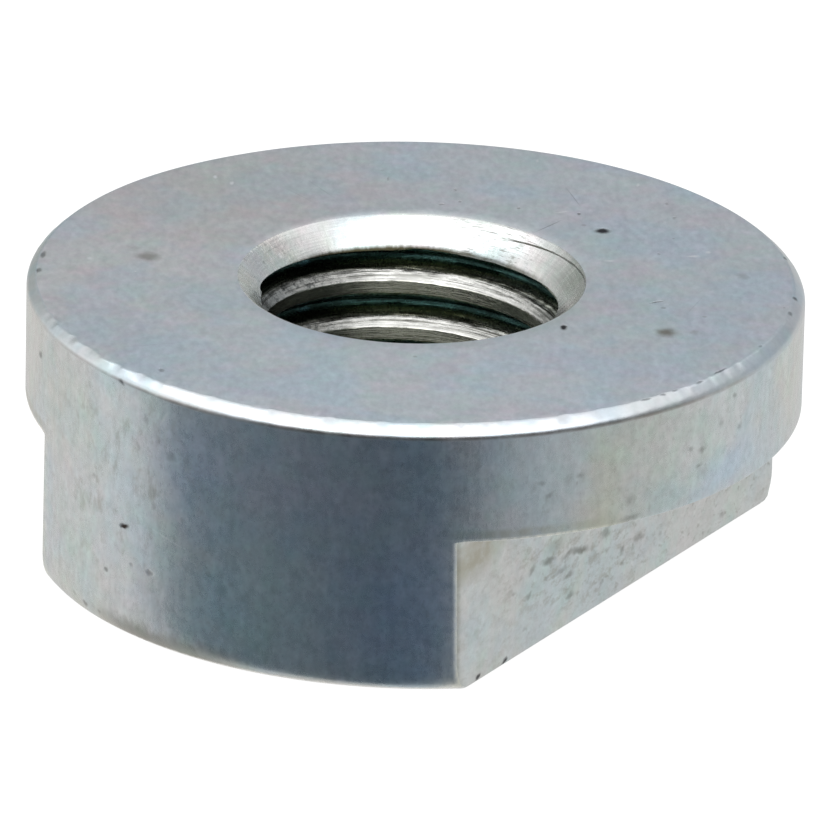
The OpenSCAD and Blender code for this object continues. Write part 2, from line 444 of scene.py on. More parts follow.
def grain_milled(n, mm, colour):
    x, y, z = n.parts(mm)
    # the two flats are not alike: the second reads its marks from another place
    far = n.mul(n.math("LESS_THAN", x, 0.0), 60.0)
    flat = n.join(n.add(y, far), z)
    sh = n.parts(ragged(n, mm, 0.30))
    at = n.join(n.add(sh[1], far), sh[2])
    blot = n.noise(n.stretch(mm, 1.0, 0.8, 1.0), 1.7, 5.0, 0.68)
    colour = n.times(colour, n.remap(blot, 0.30, 0.70, 0.90, 1.075, False))
    # stained, pitted patch in the middle of the flat
    patch = n.spot(flat, -2.8, 2.2, 4.6, 1.5, -14, 0.6)
    stain = n.noise(n.stretch(mm, 1.0, 0.8, 1.5), 1.8, 5.0, 0.7)
    colour = n.mix(n.mul(n.remap(stain, 0.47, 0.68), n.math("MULTIPLY_ADD", patch, 0.32, 0.20)), colour, (0.34, 0.33, 0.28, 1))
    speck = n.noise(n.stretch(mm, 1.0, 0.8, 1.1), 3.4, 3.0, 0.6)
    colour = n.mix(n.mul(n.remap(speck, 0.53, 0.74), n.remap(y, -9.5, 2.0, 0.17, 0.50)), colour, (0.28, 0.28, 0.25, 1))
    colour, t1 = n.marks(at, colour, (0.10, 0.09, 0.07, 1), (
        (-2.69, 2.60, 0.50, 0.13, -12, 0.60), (-3.5, 2.72, 0.34, 0.10, 10, 0.40), (-4.72, 2.92, 0.36, 0.12, -5, 0.58), (-4.3, 3.3, 0.5, 0.2, 0, 0.25),
        (-5.8, 2.95, 0.20, 0.12, 30, 0.42), (-3.36, 1.92, 0.28, 0.10, 0, 0.42), (-3.91, 2.25, 0.42, 0.10, 0, 0.36),
        (-5.99, 2.05, 0.19, 0.11, 20, 0.42), (-3.32, 1.11, 0.20, 0.11, 10, 0.45), (-0.98, 2.65, 0.28, 0.16, 10, 0.42), (-0.6, 2.9, 0.2, 0.1, 0, 0.3),
        (1.27, 1.71, 0.34, 0.11, -8, 0.42), (0.17, 1.65, 0.14, 0.15, 0, 0.48), (0.20, 1.15, 0.10, 0.08, 0, 0.28), (0.6, 1.3, 0.3, 0.1, 0, 0.2),
        (6.92, 0.59, 0.12, 0.10, 0, 0.32), (2.71, 1.34, 0.10, 0.08, 0, 0.25), (5.65, 0.31, 0.08, 0.06, 0, 0.25), (-6.24, 0.87, 0.12, 0.07, 0, 0.22),
        (-1.2, 0.84, 0.11, 0.08, 0, 0.3), (-7.0, 2.46, 0.09, 0.07, 0, 0.25), (-4.84, 2.31, 0.14, 0.08, 0, 0.28), (8.5, 1.73, 0.25, 0.16, 0, 0.25),
        (57.0, 2.3, 0.36, 0.12, 12, 0.45), (59.4, 3.4, 0.26, 0.1, -20, 0.35), (62.8, 1.4, 0.18, 0.13, 0, 0.45), (54.6, 4.1, 0.15, 0.1, 0, 0.35),
        (65.1, 2.9, 0.32, 0.1, 8, 0.3), (56.0, 1.1, 0.2, 0.1, 0, 0.3)), 0.72)
    colour, t2 = n.marks(at, colour, DARK, ((-7.51, 0.17, 0.15, 0.10, 20, 0.95), (-9.26, 0.17, 0.12, 0.10, 20, 0.9), (61.2, 0.2, 0.13, 0.1, 0, 0.8)), 0.6)
    tarnish = n.spot(at, -9.3, 4.75, 1.5, 0.65, 8, 0.7)
    colour = n.mix(n.mul(tarnish, n.remap(blot, 0.35, 0.6, 0.45, 0.95)), colour, (0.46, 0.44, 0.37, 1))
    colour = n.mix(n.mul(n.spot(at, -6.9, 5.25, 3.0, 0.16, 0, 0.6), 0.45), colour, (0.45, 0.43, 0.36, 1))
    # painted shade along the flat's edges where it meets the round
    corner = n.remap(n.add(n.math("ABSOLUTE", y), centred(n, speck, 0.12)), 10.32, 10.50)
    colour = n.mix(n.mul(corner, 0.25), colour, n.mix(1.0, colour, (0.46, 0.48, 0.46, 1), "MULTIPLY"))
    lines = n.noise(n.stretch(mm, 1.0, 0.35, 6.0), 1.0, 3.0, 0.6)
    h = n.add(n.mul(lines, 0.0015), n.mul(n.noise(mm, 6.0, 4.0, 0.65), 0.004), n.mul(blot, 0.005), n.mul(n.math("MAXIMUM", t1, t2), -0.02))
    r = n.add(centred(n, n.noise(mm, 1.5, 3.0), 0.08), centred(n, blot, 0.08))
    return colour, r, h


def grain_rim(n, mm, colour):
    at = ragged(n, mm, 0.10)
    colour, t1 = n.marks(at, colour, DARK, RIM_DASHES, 0.6)
    colour = rim_line_shade_and_nick(n, mm, colour)
    h = n.add(n.mul(n.noise(mm, 6.0, 4.0, 0.65), 0.003), n.mul(t1, -0.02))
    r = centred(n, n.noise(mm, 1.5, 3.0), 0.08)
    return colour, r, h


def grain_plain(n, mm, colour):
    blot = n.noise(mm, 1.6, 5.0, 0.66)
    colour = n.times(colour, n.remap(blot, 0.30, 0.70, 0.94, 1.04, False))
    colour = n.mix(n.mul(n.pits(ragged(n, mm, 0.2), 0.8, 0.25, 0.12), 0.3), colour, (0.2, 0.19, 0.17, 1))
    h = n.add(n.mul(n.noise(mm, 6.0, 4.0, 0.65), 0.003), n.mul(blot, 0.003))
    r = centred(n, n.noise(mm, 1.5, 3.0), 0.08)
    return colour, r, h


def grain_thread(n, mm, colour):
    x, y, z = n.parts(mm)
    th = n.math("ARCTAN2", n.math("SUBTRACT", y, BY), n.math("SUBTRACT", x, BX))
    # depth below a crest's lower edge, as a share of the pitch
    phase = n.add(n.mul(n.math("SUBTRACT", H - LAND_LOW, z), 1 / PITCH), n.mul(th, 1 / (2 * math.pi)), 8.0 - FAR / (2 * math.pi))
    # the same turn number on both sides of the seam, so that noise runs on along the helix
    drag = n.join(n.mul(n.math("SINE", th), 3.2), n.mul(n.math("COSINE", th), 3.2), n.mul(phase, PITCH * 9.0))
    long = n.join(n.mul(n.math("SINE", th), 1.6), n.mul(n.math("COSINE", th), 1.6), n.mul(phase, PITCH * 20.0))
    shake = n.noise(drag, 1.0, 4.0, 0.7)
    lines = n.noise(long, 1.0, 3.0, 0.7)
    phase = n.math("FRACT", n.add(phase, centred(n, shake, 0.07)))
    ridge = n.noise(n.join(n.mul(n.math("SINE", th), 0.8), n.mul(n.math("COSINE", th), 0.8), n.mul(phase, PITCH * 6.5)), 1.0, 2.0, 0.5)
    # colours across the thread's profile: oxide tints, with painted shade darkening the groove's root and the flank
    # under each crest
    film_and_shade = n.ramp(phase, ((0.0, (0.30, 0.29, 0.18)), (0.12, (0.16, 0.18, 0.13)), (0.32, (0.10, 0.22, 0.21)), (0.375, (0.14, 0.32, 0.30)),
                          (0.41, (0.09, 0.20, 0.14)), (0.46, (0.30, 0.36, 0.17)), (0.52, (0.40, 0.42, 0.28)), (0.575, (0.54, 0.54, 0.52)), (0.735, (0.62, 0.62, 0.60)),
                          (0.76, (0.99, 1.0, 0.88)), (0.985, (0.95, 0.97, 0.83))), "LINEAR")
    # painted shade: the grooves and crests on one side of the hole are darkened, and so are the grooves and bare
    # flanks deeper in the hole
    deg = n.mul(n.math("WRAP", n.math("SUBTRACT", FAR, th), math.pi, -math.pi), 180 / math.pi)
    shade_one_side = n.mul(n.remap(n.add(deg, centred(n, n.noise(mm, 0.8, 3.0, 0.6), 16.0)), -8.0, -34.0), n.remap(deg, -150.0, -120.0))
    bare = n.mul(n.remap(phase, 0.53, 0.57), n.remap(phase, 0.75, 0.73))
    depth_shade = n.remap(z, H - 3.3, H - 4.6)
    film_and_shade = n.mix(n.mul(shade_one_side, n.math("MAXIMUM", n.remap(bare, 0.0, 1.0, 0.80, 0.12), n.mul(depth_shade, 0.78))), film_and_shade, (0.02, 0.035, 0.03, 1))
    film_and_shade = n.mix(n.mul(depth_shade, bare, 0.46), film_and_shade, (0.10, 0.10, 0.09, 1))
    groove = n.mul(n.remap(phase, 0.27, 0.31), n.remap(phase, 0.45, 0.41))
    film_and_shade = n.mix(n.mul(groove, depth_shade, 0.62), film_and_shade, (0.03, 0.06, 0.065, 1))
    film_and_shade = n.mix(n.mul(groove, n.remap(shake, 0.46, 0.60), 0.55), film_and_shade, (0.03, 0.06, 0.055, 1))
    patchy = n.noise(n.join(n.mul(n.math("SINE", th), 5.0), n.mul(n.math("COSINE", th), 5.0), n.mul(phase, PITCH * 3.0)), 1.0, 3.0, 0.65)
    film_and_shade = n.mix(n.mul(groove, n.remap(patchy, 0.52, 0.40), 0.75), film_and_shade, (0.03, 0.055, 0.05, 1))
    film_and_shade = n.mix(n.mul(groove, n.remap(patchy, 0.54, 0.66), 0.5), film_and_shade, (0.12, 0.27, 0.33, 1))
    # painted shade in the grooves on the other side of the hole
    shade = n.mul(n.remap(deg, 4.0, 52.0, 0.0, 0.92), n.remap(deg, 178.0, 140.0), groove)
    film_and_shade = n.mix(shade, film_and_shade, (0.025, 0.05, 0.045, 1))
    # on the other side the tap has torn the flank higher up; there the bare flank is painted darker as shade, with
    # painted glints and painted shade along the torn ridges
    other = n.mul(n.remap(deg, 14.0, 46.0), n.remap(deg, 178.0, 140.0))
    film_and_shade = n.mix(n.mul(other, bare, 0.30), film_and_shade, (0.30, 0.31, 0.30, 1))
    ridge_glint = n.mul(other, n.remap(phase, 0.34, 0.44), n.remap(phase, 0.62, 0.56), n.remap(ridge, 0.50, 0.57))
    film_and_shade = n.mix(n.mul(other, n.remap(phase, 0.42, 0.47), n.remap(phase, 0.60, 0.56), 0.75), film_and_shade, (0.36, 0.38, 0.37, 1))
    film_and_shade = n.mix(n.mul(ridge_glint, 0.8), film_and_shade, (0.80, 0.82, 0.78, 1))
    film_and_shade = n.mix(n.mul(other, bare, n.remap(ridge, 0.50, 0.43), 0.6), film_and_shade, (0.09, 0.10, 0.09, 1))
    fleck = n.mul(n.remap(n.noise(mm, 4.6, 3.0, 0.7), 0.50, 0.60), n.remap(deg, -14.0, -48.0), n.remap(deg, -178.0, -140.0), bare)
    film_and_shade = n.mix(n.mul(fleck, 0.75), film_and_shade, (0.10, 0.11, 0.11, 1))
    # painted shade: the crests on this side darkened and tinted green-grey
    crest_shade = n.mul(n.remap(deg, 22.0, 46.0), n.remap(deg, 150.0, 120.0), n.remap(phase, 0.75, 0.77))
    film_and_shade = n.mix(n.mul(crest_shade, 0.45), film_and_shade, (0.30, 0.39, 0.35, 1))
    tone = n.new("ShaderNodeSeparateColor")
    n.put(tone.inputs[0], colour)
    colour = n.times(film_and_shade, n.math("DIVIDE", tone.outputs[1], TINT[1]))
    # drag marks: strongest where the flank turns over into the crest
    torn = n.ramp(phase, ((0.0, (0.25, 0.25, 0.25)), (0.46, (0.4, 0.4, 0.4)), (0.53, (1, 1, 1)), (0.62, (0.85, 0.85, 0.85)), (0.72, (0.35, 0.35, 0.35)),
                          (0.76, (0.25, 0.25, 0.25)), (0.94, (0.3, 0.3, 0.3)), (0.985, (0.7, 0.7, 0.7))), "LINEAR")
    dark = n.mul(torn, n.math("MAXIMUM", n.remap(lines, 0.47, 0.60), n.remap(shake, 0.52, 0.66)))
    colour = n.mix(n.mul(dark, 0.95), colour, n.mix(1.0, colour, (0.12, 0.12, 0.10, 1), "MULTIPLY"))
    drawn = n.mul(n.remap(deg, 26.0, 60.0), n.remap(deg, 178.0, 140.0), n.remap(phase, 0.26, 0.34), n.remap(phase, 0.76, 0.72))
    h = n.add(n.mul(shake, 0.016), n.mul(lines, 0.014), n.mul(ridge, drawn, 0.10))
    # the crests are drilled smooth
    crest = n.mul(n.remap(phase, 0.74, 0.77), n.remap(phase, 1.0, 0.97))
    r = n.add(centred(n, shake, 0.12), n.mul(crest, -0.12))
    return colour, r, h


def grain_sink(n, mm, colour):
    x, y, z = n.parts(mm)
    dx, dy = n.math("SUBTRACT", x, BX), n.math("SUBTRACT", y, BY)
    th = n.math("ARCTAN2", dy, dx)
    rad = n.math("SQRT", n.add(n.mul(dx, dx), n.mul(dy, dy)))
    round_at = n.join(n.mul(n.math("SINE", th), 3.4), n.mul(n.math("COSINE", th), 3.4), n.mul(rad, 24.0))
    turned = n.noise(round_at, 1.0, 4.0, 0.7)
    chatter = n.noise(n.join(n.mul(n.math("SINE", th), 24.0), n.mul(n.math("COSINE", th), 24.0), n.mul(rad, 1.6)), 1.0, 3.0, 0.6)
    colour = n.times(colour, n.remap(turned, 0.30, 0.70, 0.90, 1.08, False))
    colour = n.times(colour, n.remap(chatter, 0.30, 0.70, 0.92, 1.06, False))
    # angle from the far wall, clockwise as seen from above
    psi = n.math("WRAP", n.math("SUBTRACT", FAR, th), math.pi, -math.pi)
    deg = n.mul(psi, 180 / math.pi)
    # dark turning scratches on one side
    here = n.remap(n.math("ABSOLUTE", n.math("SUBTRACT", deg, 32.0)), 26.0, 12.0)
    cuts = n.noise(n.join(n.mul(n.math("SINE", th), 9.0), n.mul(n.math("COSINE", th), 9.0), n.mul(rad, 26.0)), 1.0, 4.0, 0.7)
    colour = n.mix(n.mul(here, n.remap(cuts, 0.50, 0.66), 0.85), colour, (0.22, 0.22, 0.205, 1))
    # a thin tool mark that runs out to the face
    track = n.math("MULTIPLY_ADD", n.math("SUBTRACT", deg, 38.0), 0.25 / 42.0, 5.69)
    line = n.remap(n.math("ABSOLUTE", n.math("SUBTRACT", rad, n.add(track, centred(n, turned, 0.05)))), 0.027, 0.008)
    line = n.mul(line, n.remap(deg, 34.0, 40.0), n.remap(deg, 100.0, 84.0))
    colour = n.mix(n.mul(line, n.remap(deg, 52.0, 62.0, 0.95, 0.75)), colour, (0.08, 0.08, 0.06, 1))
    # painted light: the other side made lighter and warmer, and mottled there, with dark and bright grains
    left = n.mul(n.remap(deg, -35.0, -70.0), n.remap(deg, -178.0, -140.0))
    grit = n.noise(mm, 4.5, 3.0, 0.7)
    colour = n.mix(left, colour, n.mix(1.0, colour, (1.24, 1.18, 1.10, 1), "MULTIPLY"))
    colour = n.mix(n.mul(left, n.remap(grit, 0.56, 0.66), 0.45), colour, (0.26, 0.26, 0.24, 1))
    colour = n.mix(n.mul(left, n.remap(grit, 0.42, 0.34), 0.7), colour, (0.97, 0.98, 0.99, 1))
    # painted shade: the countersink darker on this side of the hole
    colour = n.mix(n.mul(n.remap(deg, 44.0, 74.0), n.remap(deg, 178.0, 140.0)), colour, n.mix(1.0, colour, (0.82, 0.81, 0.78, 1), "MULTIPLY"))
    # painted shade along the countersink's lower edge on this side, where it meets the thread
    reach = n.remap(deg, 0.0, 40.0, 0.16, 0.09)
    lower = n.remap(n.math("SUBTRACT", n.add(rad, n.mul(n.math("SUBTRACT", chatter, 0.5), n.mul(reach, 0.45))), CORE), reach, n.mul(reach, 0.3))
    colour = n.mix(n.mul(lower, n.remap(deg, 8.0, 35.0, 0.98, 0.7), n.remap(deg, 74.0, 46.0), n.remap(deg, -178.0, -140.0)), colour, (0.035, 0.030, 0.011, 1))
    h = n.add(n.mul(turned, 0.006), n.mul(chatter, 0.006), n.mul(n.noise(mm, 6.0, 4.0, 0.65), 0.003), n.mul(left, grit, 0.02), n.mul(line, -0.02))
    r = n.add(centred(n, turned, 0.12), centred(n, chatter, 0.10))
    return colour, r, h


FACE, EDGE, SIDE, MILLED, UNDER, BORE, SINKS = range(7)
MATERIALS = [zinc("zinc_face", 0.36, grain_face, 1.5), zinc("zinc_rim", 0.34, grain_rim, rose=0.4),
             zinc("zinc_side", 0.28, grain_side, 1.2, rose=0.5), zinc("zinc_milled", 0.38, grain_milled, 1.3, (0.67, 0.685, 0.685), 0.35),
             zinc("zinc_under", 0.36, grain_plain), zinc("zinc_thread", 0.27, grain_thread),
             zinc("zinc_countersink", 0.26, grain_sink, 1.0, (0.70, 0.72, 0.71))]

# ---------------------------------------------------------------------------
# The nut's mesh
# ---------------------------------------------------------------------------
N = 1200                               # columns outside
NB = N // 2                            # columns in the bore
CORNER = math.acos(W / R)              # where a flat meets the round, from +X


def columns():
    """Column angles, with one on each end of each flat."""
    n1 = round(N / 4 * CORNER / (math.pi / 2))
    if n1 % 2:
        n1 += 1
    quarter = np.concatenate([
        np.linspace(0, CORNER, n1, endpoint=False),
        np.linspace(CORNER, math.pi / 2, N // 4 - n1, endpoint=False)])
    mirrored = math.pi - np.concatenate([[math.pi / 2], quarter[:0:-1]])
    half = np.concatenate([quarter, mirrored])
    return np.concatenate([half, half + math.pi])


TH = columns()
BTH = TH[::2]


def fold(theta):
    """Angle from the nearer of +X and -X, 0 to 90 degrees."""
    return np.arctan2(np.abs(np.sin(theta)), np.abs(np.cos(theta)))


def unfold(base, folded):
    s = np.where(np.sin(base) < -1e-12, -1.0, 1.0)
    c = np.where(np.cos(base) < -1e-12, -1.0, 1.0)
    return np.arctan2(s * np.sin(folded), c * np.cos(folded))


FOLD = fold(TH)
CORNERS = np.nonzero(np.abs(FOLD - CORNER) < 1e-6)[0]


def warp(corner):
    """Column angles slid so that the corner column lies at another angle."""
    f = np.where(FOLD <= CORNER, FOLD / CORNER * corner,
                 corner + (FOLD - CORNER) / (math.pi / 2 - CORNER) * (math.pi / 2 - corner))
    return unfold(TH, f)


def lean(z):
    """Half-width across the flats at a height."""
    return W_LOW + (W_TOP - W_LOW) * z / FOOT


def ring(z, radius, flat=None, blunt=0):
    """One ring of points: a circle, cut by the flats where they are given, its corners rounded over a few columns."""
    radius = np.broadcast_to(np.asarray(radius, float), TH.shape)
    cut = flat is not None and flat < radius.max()
    if not cut:
        th, r = TH, radius
    else:
        th = warp(math.acos(flat / radius.max()))
        r = np.minimum(radius, flat / np.maximum(np.abs(np.cos(th)), 1e-9))
    z = np.broadcast_to(np.asarray(z, float), TH.shape)
    points = np.stack([r * np.cos(th), r * np.sin(th), z], 1)
    if cut and blunt:
        for c in CORNERS:
            a, tip, b = points[(c - blunt) % N].copy(), points[c].copy(), points[(c + blunt) % N].copy()
            for k in range(1 - blunt, blunt):
                t = (k + blunt) / (2 * blunt)
                points[(c + k) % N] = (1 - t) ** 2 * a + 2 * t * (1 - t) * tip + t * t * b
    return points


def hole(z, r):
    """One ring of the bore."""
    return np.stack([BX + r * np.cos(BTH), BY + r * np.sin(BTH), np.broadcast_to(z, NB)], 1)


def bend(a, corner, b, steps):
    """Points of a small rounded corner from a to b."""
    out = []
    for s in np.linspace(0, 1, steps):
        out.append([(1 - s) ** 2 * a[i] + 2 * s * (1 - s) * corner[i] + s * s * b[i] for i in (0, 1)])
    return out


verts, faces, zone = [], [], []


def add_ring(points):
    start = len(verts)
    verts.extend(points.tolist())
    return start


def join(a, b, n, kind):
    for j in range(n):
        k = (j + 1) % n
        faces.append((a + j, a + k, b + k, b + j))
        zone.append(kind)


def halve(coarse, fine, kind, flip):
    """Joins a ring of NB points to a ring of N points."""
    for j in range(NB):
        a0, a1 = coarse + j, coarse + (j + 1) % NB
        b0, b1, b2 = fine + 2 * j, fine + 2 * j + 1, fine + (2 * j + 2) % N
        for f in ((a0, b1, b0), (a0, a1, b1), (a1, b2, b1)):
            faces.append(f[::-1] if flip else f)
            zone.append(kind)


def make_object(name, points, polygons, kinds):
    m = bpy.data.meshes.new(name)
    m.from_pydata([(x * MM, y * MM, z * MM) for x, y, z in points], [], polygons)
    for mat in MATERIALS:
        m.materials.append(mat)
    m.polygons.foreach_set("material_index", np.array(kinds, np.int32))
    b = bmesh.new()
    b.from_mesh(m)
    bmesh.ops.remove_doubles(b, verts=b.verts, dist=2.0e-6)
    bmesh.ops.dissolve_degenerate(b, edges=b.edges, dist=1.0e-6)
    bmesh.ops.delete(b, geom=[v for v in b.verts if not v.link_faces], context="VERTS")
    if b.calc_volume(signed=True) < 0:
        bmesh.ops.reverse_faces(b, faces=b.faces)
    print(name, len(b.verts), "verts", "open edges", sum(len(e.link_faces) != 2 for e in b.edges),
          "volume", round(b.calc_volume(signed=True) * 1e9, 1))
    b.to_mesh(m)
    b.free()
    ob = bpy.data.objects.new(name, m)
    bpy.context.scene.collection.objects.link(ob)
    return ob


# --- the drilled and countersunk bore, from the head's face down -------------
DEEP = SINK - CORE
edge_out = 0.045
# on one side the countersink runs out steeper, along the first groove


def runout(deg):
    """How much deeper the countersink reaches, by the angle from the far wall."""
    return 0.16 * np.clip((deg + 60) / 55, 0, 1) * np.clip((94 - deg) / 40, 0, 1) + \
        0.025 * np.clip(deg / 40, 0, 1) * np.clip((94 - deg) / 50, 0, 1)


bore = [(H, SINK + edge_out), (H - 0.012, SINK + 0.012), (H - edge_out, SINK - edge_out)]
bore += [(H - d, SINK - d) for d in (0.25, 0.5, 0.7)]
bore += [(H - DEEP - runout(np.degrees((FAR - BTH + math.pi) % (2 * math.pi) - math.pi)), CORE)]
bore += [(z, CORE) for z in (7.6, 6.2, 4.9, 3.5, 2.2, DEEP)]
bore += [(0.5, SINK - 0.5), (0.0, SINK)]
top_inner = add_ring(hole(*bore[0]))
last = top_inner
for i, (z, r) in enumerate(bore[1:], 1):
    here = add_ring(hole(z, r))
    join(last, here, NB, BORE if 7 <= i <= 12 else SINKS)
    last = here
foot_inner = last

# --- outside, from the head's face down to the foot's face -------------------
top_next = add_ring(ring(H, 6.6))
halve(top_inner, top_next, FACE, True)
last = top_next
for r in (8.0, 10.0, 12.0, 12.75):
    here = add_ring(ring(H, r))
    join(here, last, N, FACE)
    last = here

worn = np.clip((np.cos(TH - AZ + math.pi / 2) - 0.05) / 0.5, 0, 1)
less = np.clip((-np.sin(TH - AZ + math.pi / 2) - 0.45) / 0.40, 0, 1)
chips = -0.95 * np.clip(wobble(N, 34, 120, 0.5), 0, None)
inner_nick = (0.55 * wobble(N, 14, 60, 0.6) + chips) * (0.03 + 0.97 * worn) * (1 + 0.9 * less)
outer_nick = wobble(N, 30, 120, 0.5)
t = 0.08
edge = bend((-RIM - t, 0), (-RIM, 0), (-RIM + 0.7 * t, -0.6 * t), 4) + \
    bend((-0.14, -RIM_UP + 0.125), (0, -RIM_UP), (0, -RIM_UP - 0.16), 6)
uneven = 1.0 - 0.24 * less * less * (3 - 2 * less)
for i, (dr, dz) in enumerate(edge):
    inner = i < 4
    dr, dz = dr * uneven, dz * uneven
    wave = 0.10 * inner_nick * (1.0 if i < 3 else 0.8) if inner else np.zeros(N)
    drop = 0.008 * outer_nick if 4 <= i <= 8 else np.zeros(N)
    z = H + dz + drop
    if 0 < i < 4:
        # the chamfer starts where its wavy upper edge lies
        z = z + np.clip(-0.35 * wave, -0.02, 0.02) * (i / 3)
    here = add_ring(ring(np.minimum(H, z), np.minimum(R, R + dr + wave)))
    join(here, last, N, FACE if i == 0 else EDGE)
    last = here

for z in (8.9, 7.4, FOOT + 0.30):
    here = add_ring(ring(z, R))
    join(here, last, N, SIDE)
    last = here

# the head's lower edge over each flat, and the corner the cutter leaves
b = 0.05
BLUNT = 3
under_r = ring(FOOT, R, W_TOP + MILL_R, BLUNT)
room = np.clip(R - np.hypot(under_r[:, 0], under_r[:, 1]), 0, None)
soft = np.minimum(b, 0.35 * room)
for dr, dz in ((0, 1.0), (0.07, 0.62), (0.29, 0.29), (0.62, 0.07), (1.0, 0)):
    here = add_ring(ring(FOOT + soft * dz, R - soft * dr))
    join(here, last, N, SIDE)
    last = here
here = add_ring(under_r)
join(here, last, N, UNDER)
last = here
for a in (30.0, 60.0, 90.0):
    a = math.radians(a)
    here = add_ring(ring(FOOT - MILL_R * (1 - math.cos(a)), R, W_TOP + MILL_R * (1 - math.sin(a)), BLUNT))
    join(here, last, N, MILLED)
    last = here
for z in (4.2, 2.6, TOE_UP + 0.30):
    here = add_ring(ring(z, R, lean(z), BLUNT))
    join(here, last, N, MILLED)
    last = here
for a in (0, 14, 28, 42, 55, 67, 78, 90):
    a = math.radians(a)
    z = TOE_UP * (1 - math.sin(a))
    here = add_ring(ring(z, R - TOE_IN * (1 - math.cos(a)), lean(z) - max(0.0, BREAK - z), BLUNT if z > 0.3 else 2))
    join(here, last, N, MILLED)
    last = here
rim_r = ring(0, R - TOE_IN, lean(0) - BREAK, 2)
for s in (0.08, 0.35, 0.7):
    here = add_ring(rim_r * (1 - s) + ring(0, SINK) * s)
    join(here, last, N, UNDER)
    last = here
foot_next = add_ring(ring(0, 6.6))
join(foot_next, last, N, UNDER)
halve(foot_inner, foot_next, UNDER, False)
nut = make_object("nut_body", verts, faces, zone)


# --- the tap's right-hand helical cut ----------------------------------------
def thread_cut():
    """A closed helical tool: each section is (radius, depth under a crest's lower edge)."""
    section = [(4.88, -0.127), (CORE, 0.0), (5.38, 0.162), (5.66, 0.323), (ROOT - 0.02, 0.473), (ROOT + 0.02, 0.570), (ROOT - 0.02, 0.680),
               (5.80, 0.771), (5.68, 0.840), (5.56, 0.910), (5.46, 0.975), (5.39, 1.035), (5.32, 1.100), (5.25, 1.165), (5.18, 1.235),
               (CORE, 1.310), (4.88, 1.530)]
    tear = [0, 0.006, 0.010, 0.010, 0.008, 0.006, 0.010, 0.014, 0.018, 0.024, 0.028, 0.026, 0.022, 0.020, 0.016, 0.012, 0]
    m = len(section)
    per = 330
    first, final = -5.05, 3.35
    steps = int((final - first) * per)
    points, polys = [], []
    for k in range(steps + 1):
        t = first + k / per
        th = FAR + 2 * math.pi * t
        s = th * 5.4
        # the first groove opens straight out of the countersink
        past = 360 * (1 - t)
        turned = (past + 180) % 360 - 180
        start = 0.78 + 1.3 * float(runout(turned)) + 0.15 * min(max((turned - 55) / 30, 0.0), 1.0) * min(max((150 - turned) / 30, 0.0), 1.0)
        lift = 0.0
        if 0 < past < 108:
            lift = max(0.0, PITCH * past / 360 - float(runout(past))) * min(1.0, (108 - past) / 15)
        for i, ((r, d), amount) in enumerate(zip(section, tear)):
            d -= lift * (1.0, 1.0, 0.6, 0.25, 0.0)[min(i, 4)]
            if amount:
                torn = 0.9 * noise.noise((s * 0.45, i * 7.3, 2.0)) + 0.8 * noise.noise((s * 1.7, i * 3.7, 9.0)) + \
                    0.6 * noise.noise((s * 4.2, i * 5.1, 5.0))
                push = amount * torn
                # along the surface's normal: inward and up on the lower flank, inward and down on the upper
                if d > 0.6:
                    r, d = r - 0.6 * push, d - 0.8 * push
                else:
                    r, d = r - 0.5 * push, d + 0.6 * push
            z = H - LAND_LOW - d + PITCH * t
            deep = H - z
            ease = min(max((deep - start) / 0.25, 0.0), 1.0)
            r = min(r, SINK - deep - 0.03 + ease * ease * (3 - 2 * ease) * (abs(deep) + 1.0))
            points.append((BX + r * math.cos(th), BY + r * math.sin(th), z))
    for k in range(steps):
        a, c = k * m, (k + 1) * m
        for i in range(m):
            j = (i + 1) % m
            polys.append((a + i, a + j, c + j, c + i))
    polys.append(tuple(range(m))[::-1])
    polys.append(tuple(steps * m + i for i in range(m)))
    return make_object("thread_cut", points, polys, [BORE] * len(polys))


cut = thread_cut()
tap = nut.modifiers.new("tap", "BOOLEAN")
tap.operation = "DIFFERENCE"
tap.solver = "MANIFOLD"
tap.object = cut
bpy.context.view_layer.update()
tapped = bpy.data.meshes.new_from_object(nut.evaluated_get(bpy.context.evaluated_depsgraph_get()))
tapped.name = "round_nut_body"
old = nut.data
nut.modifiers.clear()
nut.data = tapped
bpy.data.meshes.remove(old)
old = cut.data
bpy.data.objects.remove(cut)
bpy.data.meshes.remove(old)

bm = bmesh.new()
bm.from_mesh(tapped)
bmesh.ops.dissolve_degenerate(bm, edges=bm.edges, dist=1.5e-6)
bmesh.ops.delete(bm, geom=[v for v in bm.verts if not v.link_faces], context="VERTS")
# the round part of the foot belongs to the turned side
for f in bm.faces:
    f.smooth = True
    if f.material_index == MILLED:
        c = f.calc_center_median()
        z = c.z / MM
        away = abs(c.x) / MM - lean(z)
        if away < -0.30 or (abs(f.normal.x) < 0.85 and z < FOOT - 0.1 and z > BREAK) or math.hypot(c.x, c.y) / MM > R - 0.02:
            f.material_index = SIDE
tris = sum(len(f.verts) - 2 for f in bm.faces)
islands, left = 0, set(bm.verts)
while left:
    islands += 1
    heap = [left.pop()]
    while heap:
        for e in heap.pop().link_edges:
            for v in e.verts:
                if v in left:
                    left.remove(v)
                    heap.append(v)
print("nut mesh:", len(bm.verts), "verts", tris, "triangles", "open edges", sum(len(e.link_faces) != 2 for e in bm.edges),
      "volume mm3", round(bm.calc_volume(signed=True) * 1e9, 1), "islands", islands,
      "zones", [sum(f.material_index == k for f in bm.faces) for k in range(7)])
bm.to_mesh(tapped)
bm.free()
tapped.set_sharp_from_angle(angle=math.radians(36))
# the countersink ends in a crisp edge where the thread starts
bm = bmesh.new()
bm.from_mesh(tapped)
for e in bm.edges:
    if {f.material_index for f in e.link_faces} == {BORE, SINKS}:
        e.smooth = False
bm.to_mesh(tapped)
bm.free()

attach(nut, "root")
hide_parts("round_nut")

# ---------------------------------------------------------------------------
# Floor, light and camera
# ---------------------------------------------------------------------------


